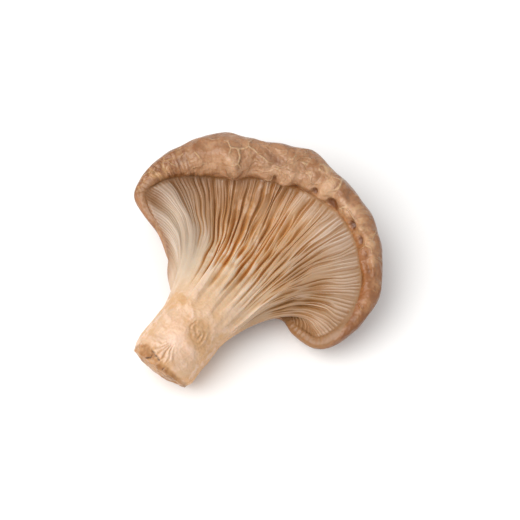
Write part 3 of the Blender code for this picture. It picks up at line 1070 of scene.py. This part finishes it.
def gill_colour(s):
    """Cream folds with rosy streaks, tan on their sides and orange brown in the deep valleys.
    The valleys' colour is partly their own and partly painted shade. Painted highlights lie on the
    crests, and painted shade under the rim, in the grooves and low down.
    """
    cream = s.mix(s.rise(s.noise(6.0 * MM), 0.35, 0.65), GILL_PALE, GILL_WARM)
    cream = s.tint(cream, s.rise(s.noise(2.2 * MM), 0.48, 0.75), 0.5, GILL_ROSY)
    cream = s.tint(cream, s.mask("white"), 0.85, GILL_WHITE)
    valley = s.mask("valley")
    warm = s.mask("warm")
    # Tan to orange brown with the valleys' depth: partly their own colour and partly painted shade.
    side = s.mix(s.rise(valley, 0.15, 1.0), cream, s.mix(warm, GILL_SIDE, WARM_SIDE))
    deep = s.mix(s.rise(valley, 0.7, 1.8), side, s.mix(warm, GILL_DEEP, WARM_DEEP))
    shallow = s.rise(valley, 0.3, 1.0, 0.8, 0.0)
    # Painted highlights: pale patches on the folds and a pale edge along each crest.
    patches = s.rise(s.noise(5.0 * MM, 2.0), 0.48, 0.62, 0.0, 0.7)
    pale = s.times(patches, s.math("MAXIMUM", warm, s.mask("stem")))
    painted_highlight = s.math("MAXIMUM", s.mask("crest"), pale)
    edged = s.tint(deep, painted_highlight, shallow, GILL_CREST_HIGHLIGHT)
    # Painted shade on the low sides.
    low = s.tint(edged, s.mask("underside"), 0.55, STEM_LOW_SHADE)
    # Painted shade under the rim, at the corner, on the lobe and on the right, weaker on the painted
    # highlights.
    shaded = s.tint(low, s.mask("shade"), s.rise(painted_highlight, 0.0, 1.0, 1.0, 0.5), GILL_PAINTED_SHADE)
    # Painted shade in the narrow grooves between the gills.
    grooved = s.tint(shaded, s.mask("groove"), 0.5, GILL_GROOVE_SHADE)
    # Darker at the flanks, the rim and the lobe: partly duller gills and partly painted shade.
    return s.mix(s.mask("dim"), grooved, GILL_DULL_AND_SHADE, "MULTIPLY")


def stem_colour(s):
    """Peach cream with streaks along the stem, tan blotches and pale patches, and its bump height.
    Painted highlights lie on its crinkles, and painted shade in the fan's creases and low down.
    """
    base = s.mix(s.rise(s.noise(7.0 * MM), 0.42, 0.62), STEM_PALE, STEM_TAN)
    streak = s.noise(1.2 * MM, 3.0, s.places((0.15, 1.0, 1.0)))
    base = s.tint(base, s.rise(streak, 0.5, 0.8), 0.35, STEM_DARK_AND_SHADE)
    base = s.tint(base, s.rise(s.noise(2.6 * MM, 4.0), 0.5, 0.66), 0.5, STEM_ROSY)
    # Painted shade on the stem's low side.
    base = s.tint(base, s.mask("underside"), 0.85, STEM_LOW_SHADE)
    base = s.tint(base, s.mask("blush"), 0.8, STEM_BLUSH_AND_HIGHLIGHT)
    crinkle = s.noise(3.0 * MM, 2.0)
    # Painted highlights on the tops of the crinkles.
    base = s.mix(s.rise(crinkle, 0.52, 0.66, 0.0, 0.5), base, STEM_BLUSH_AND_HIGHLIGHT)
    # Painted shade in the fan's creases.
    base = s.tint(base, s.mask("fan_crease"), 0.8, STEM_DARK_AND_SHADE)
    return s.tint(base, s.mask("scar"), 0.95, STEM_SCAR), s.off_middle(crinkle, 0.9)


def cut_colour(s):
    """Tan and rough, with painted shade in the cracks."""
    base = s.mix(s.rise(s.noise(2.5 * MM, 4.0), 0.4, 0.65), CUT_PALE, CUT_TAN)
    return s.mix(s.rise(s.mask("crack"), 0.12, 0.5), base, CUT_CRACK_SHADE)


def skin_colour(s):
    """The skin's colour and bump height.

    It is rosy brown, and paler in swirls and along a loose net of lines. Painted highlights make it
    paler along the crest of the roll, on the swellings and on the wrinkles across it. Painted shade
    makes it darker at its inner edge, in the dimples, in the wrinkles' troughs, beside the lines and
    on the outer side.
    """
    base = s.mix(s.rise(s.noise(8.0 * MM), 0.35, 0.65), SKIN_ROSY, SKIN_BROWN)
    base = s.tint(base, s.rise(s.noise(4.2 * MM, 2.0), 0.48, 0.7), 0.4, SKIN_PALE_AND_HIGHLIGHT)
    over = s.mask("over")
    # Painted highlight along the crest of the roll, where it faces the light.
    crest = s.times(s.rise(over, 0.08, 0.22), s.rise(over, 0.28, 0.45, 1.0, 0.0))
    base = s.tint(base, crest, 0.36, SKIN_PALE_AND_HIGHLIGHT)
    lump = s.mask("lump")
    # Painted highlight on the swellings.
    base = s.mix(s.rise(lump, 0.2, 1.0, 0.0, 0.75), base, SKIN_PALE_AND_HIGHLIGHT)
    wrinkles = s.noise(1.0, 1.0, s.across_roll(WRINKLES_ROUND, 3.0), bend=0.6)
    wrinkled = s.mask("wrinkled")
    # Painted highlight on the ridges of the wrinkles.
    base = s.tint(base, s.times(s.rise(wrinkles, 0.52, 0.64), wrinkled), 0.5, SKIN_LINE_AND_HIGHLIGHT)
    # Painted shade in the troughs of the wrinkles.
    base = s.tint(base, s.times(s.rise(wrinkles, 0.46, 0.34), wrinkled), 0.6, SKIN_PAINTED_SHADE)
    bands = s.math("PINGPONG", s.times(s.noise(SWIRL_SIZE, 1.0, bend=0.8), SWIRL_BANDS), 1.0)
    swirls = s.times(s.rise(bands, 0.78, 1.0), s.mask("swirled"))
    base = s.tint(base, swirls, 0.35, SKIN_LINE_AND_HIGHLIGHT)
    net = s.cracks(NET_SIZE, s.bent(s.places(), NET_BEND, 8.0 * MM))
    broken = s.rise(s.noise(5.0 * MM, 2.0), 0.48, 0.6)
    lines = s.times(s.rise(net, 0.0, 0.045, 0.75, 0.0), broken)
    # Painted shadow beside the lines of the net.
    base = s.mix(s.times(s.rise(net, 0.02, 0.14, 0.5, 0.0), broken), base, SKIN_PAINTED_SHADE)
    base = s.tint(base, lines, 0.8, SKIN_LINE_AND_HIGHLIGHT)
    # Painted shadow along the inner edge of the roll.
    base = s.mix(s.mask("inner"), base, SKIN_SHADOW_BAND)
    # Painted shade in the dimples.
    base = s.mix(s.rise(lump, -0.95, -0.15, 0.9, 0.0), base, SKIN_DIMPLE_SHADE)
    # Painted shade on the outer side of the roll, which turns away from the light.
    base = s.tint(base, s.rise(over, 0.45, 0.95), 0.65, SKIN_PAINTED_SHADE)
    # Painted shade: the skin darker on the right, the lobe and the left corner, fading down the back.
    colour = s.mix(s.mask("dim"), base, SKIN_SHADE_DIMMING, "MULTIPLY")
    folds = s.times(s.off_middle(wrinkles, wrinkled), 1.3)
    height = s.math("ADD", s.times(lines, 0.3), folds)
    height = s.math("ADD", height, s.times(swirls, 0.2))
    return colour, s.math("ADD", height, s.off_middle(s.noise(4.0 * MM, 2.0), 1.8))


def flesh_material():
    s = Shading("mushroom_flesh")
    stem, stem_height = stem_colour(s)
    gill_to_stem = s.mix(s.mask("stem"), gill_colour(s), stem)
    with_cut = s.mix(s.mask("cut"), gill_to_stem, cut_colour(s))
    skin, height = skin_colour(s)
    colour = s.mix(s.mask("skin"), with_cut, skin)
    grain = s.bump(s.noise(0.8 * MM, 2.0), 0.06 * MM)
    relief = s.math("ADD", s.times(height, s.mask("skin")), s.times(stem_height, s.mask("stem")))
    s.feed(s.shader, {"Base Color": colour, "Normal": s.bump(relief, 1.0 * MM, grain), **FLESH_LOOK})
    return s.material


def add(name, data):
    """A new object in the scene."""
    piece = bpy.data.objects.new(name, data)
    scene.collection.objects.link(piece)
    return piece


def mushroom():
    mesh = mushroom_mesh()
    mesh.materials.append(flesh_material())
    piece = add("mushroom_skin", mesh)
    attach(piece, "root")
    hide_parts("oyster_mushroom")


def floor():
    """A plain white sheet under the mushroom, wide enough to fill every view of it from above."""
    mesh = bpy.data.meshes.new("floor")
    corners = [(x * FLOOR_HALF, y * FLOOR_HALF, 0) for x, y in ((-1, -1), (1, -1), (1, 1), (-1, 1))]
    mesh.from_pydata(corners, [], [(0, 1, 2, 3)])
    s = Shading("floor_white")
    s.feed(s.shader, {"Base Color": FLOOR_COLOUR, "Roughness": 0.9})
    mesh.materials.append(s.material)
    piece = add("floor", mesh)


def aim(piece, towards):
    piece.rotation_mode = "QUATERNION"
    piece.rotation_quaternion = (Vector(towards) - piece.location).to_track_quat("-Z", "Y")


def key_light():
    """One soft round light, high on the far left."""
    data = bpy.data.lights.new("key", "AREA")
    data.shape = "DISK"
    data.size = KEY_SIZE
    data.energy = KEY_WATTS
    data.color = KEY_COLOUR
    light = add("key", data)
    light.location = KEY_PLACE
    aim(light, AIM_POINT)


def studio():
    floor()
    world = bpy.data.worlds.new("studio")
    scene.world = world
    world.use_nodes = True
    background = world.node_tree.nodes["Background"]
    background.inputs["Color"].default_value = (1.0, 1.0, 1.0, 1.0)
    background.inputs["Strength"].default_value = WORLD_LIGHT
    key_light()
    scene.view_settings.view_transform = "Standard"


def camera():
    data = bpy.data.cameras.new("camera")
    data.lens = CAMERA_LENS
    data.sensor_width = SENSOR_WIDTH
    data.clip_start = 0.01
    piece = add("camera", data)
    flat = math.cos(CAMERA_ELEVATION)
    right, near = math.sin(CAMERA_AZIMUTH) * flat, -math.cos(CAMERA_AZIMUTH) * flat
    towards_camera = Vector((right, near, math.sin(CAMERA_ELEVATION)))
    distance = CAMERA_LENS / SENSOR_WIDTH * FRAME_WIDTH
    piece.location = Vector(STATION_ORIGIN) + towards_camera * distance
    aim(piece, STATION_ORIGIN)
    scene.camera = piece


mushroom()
studio()
camera()
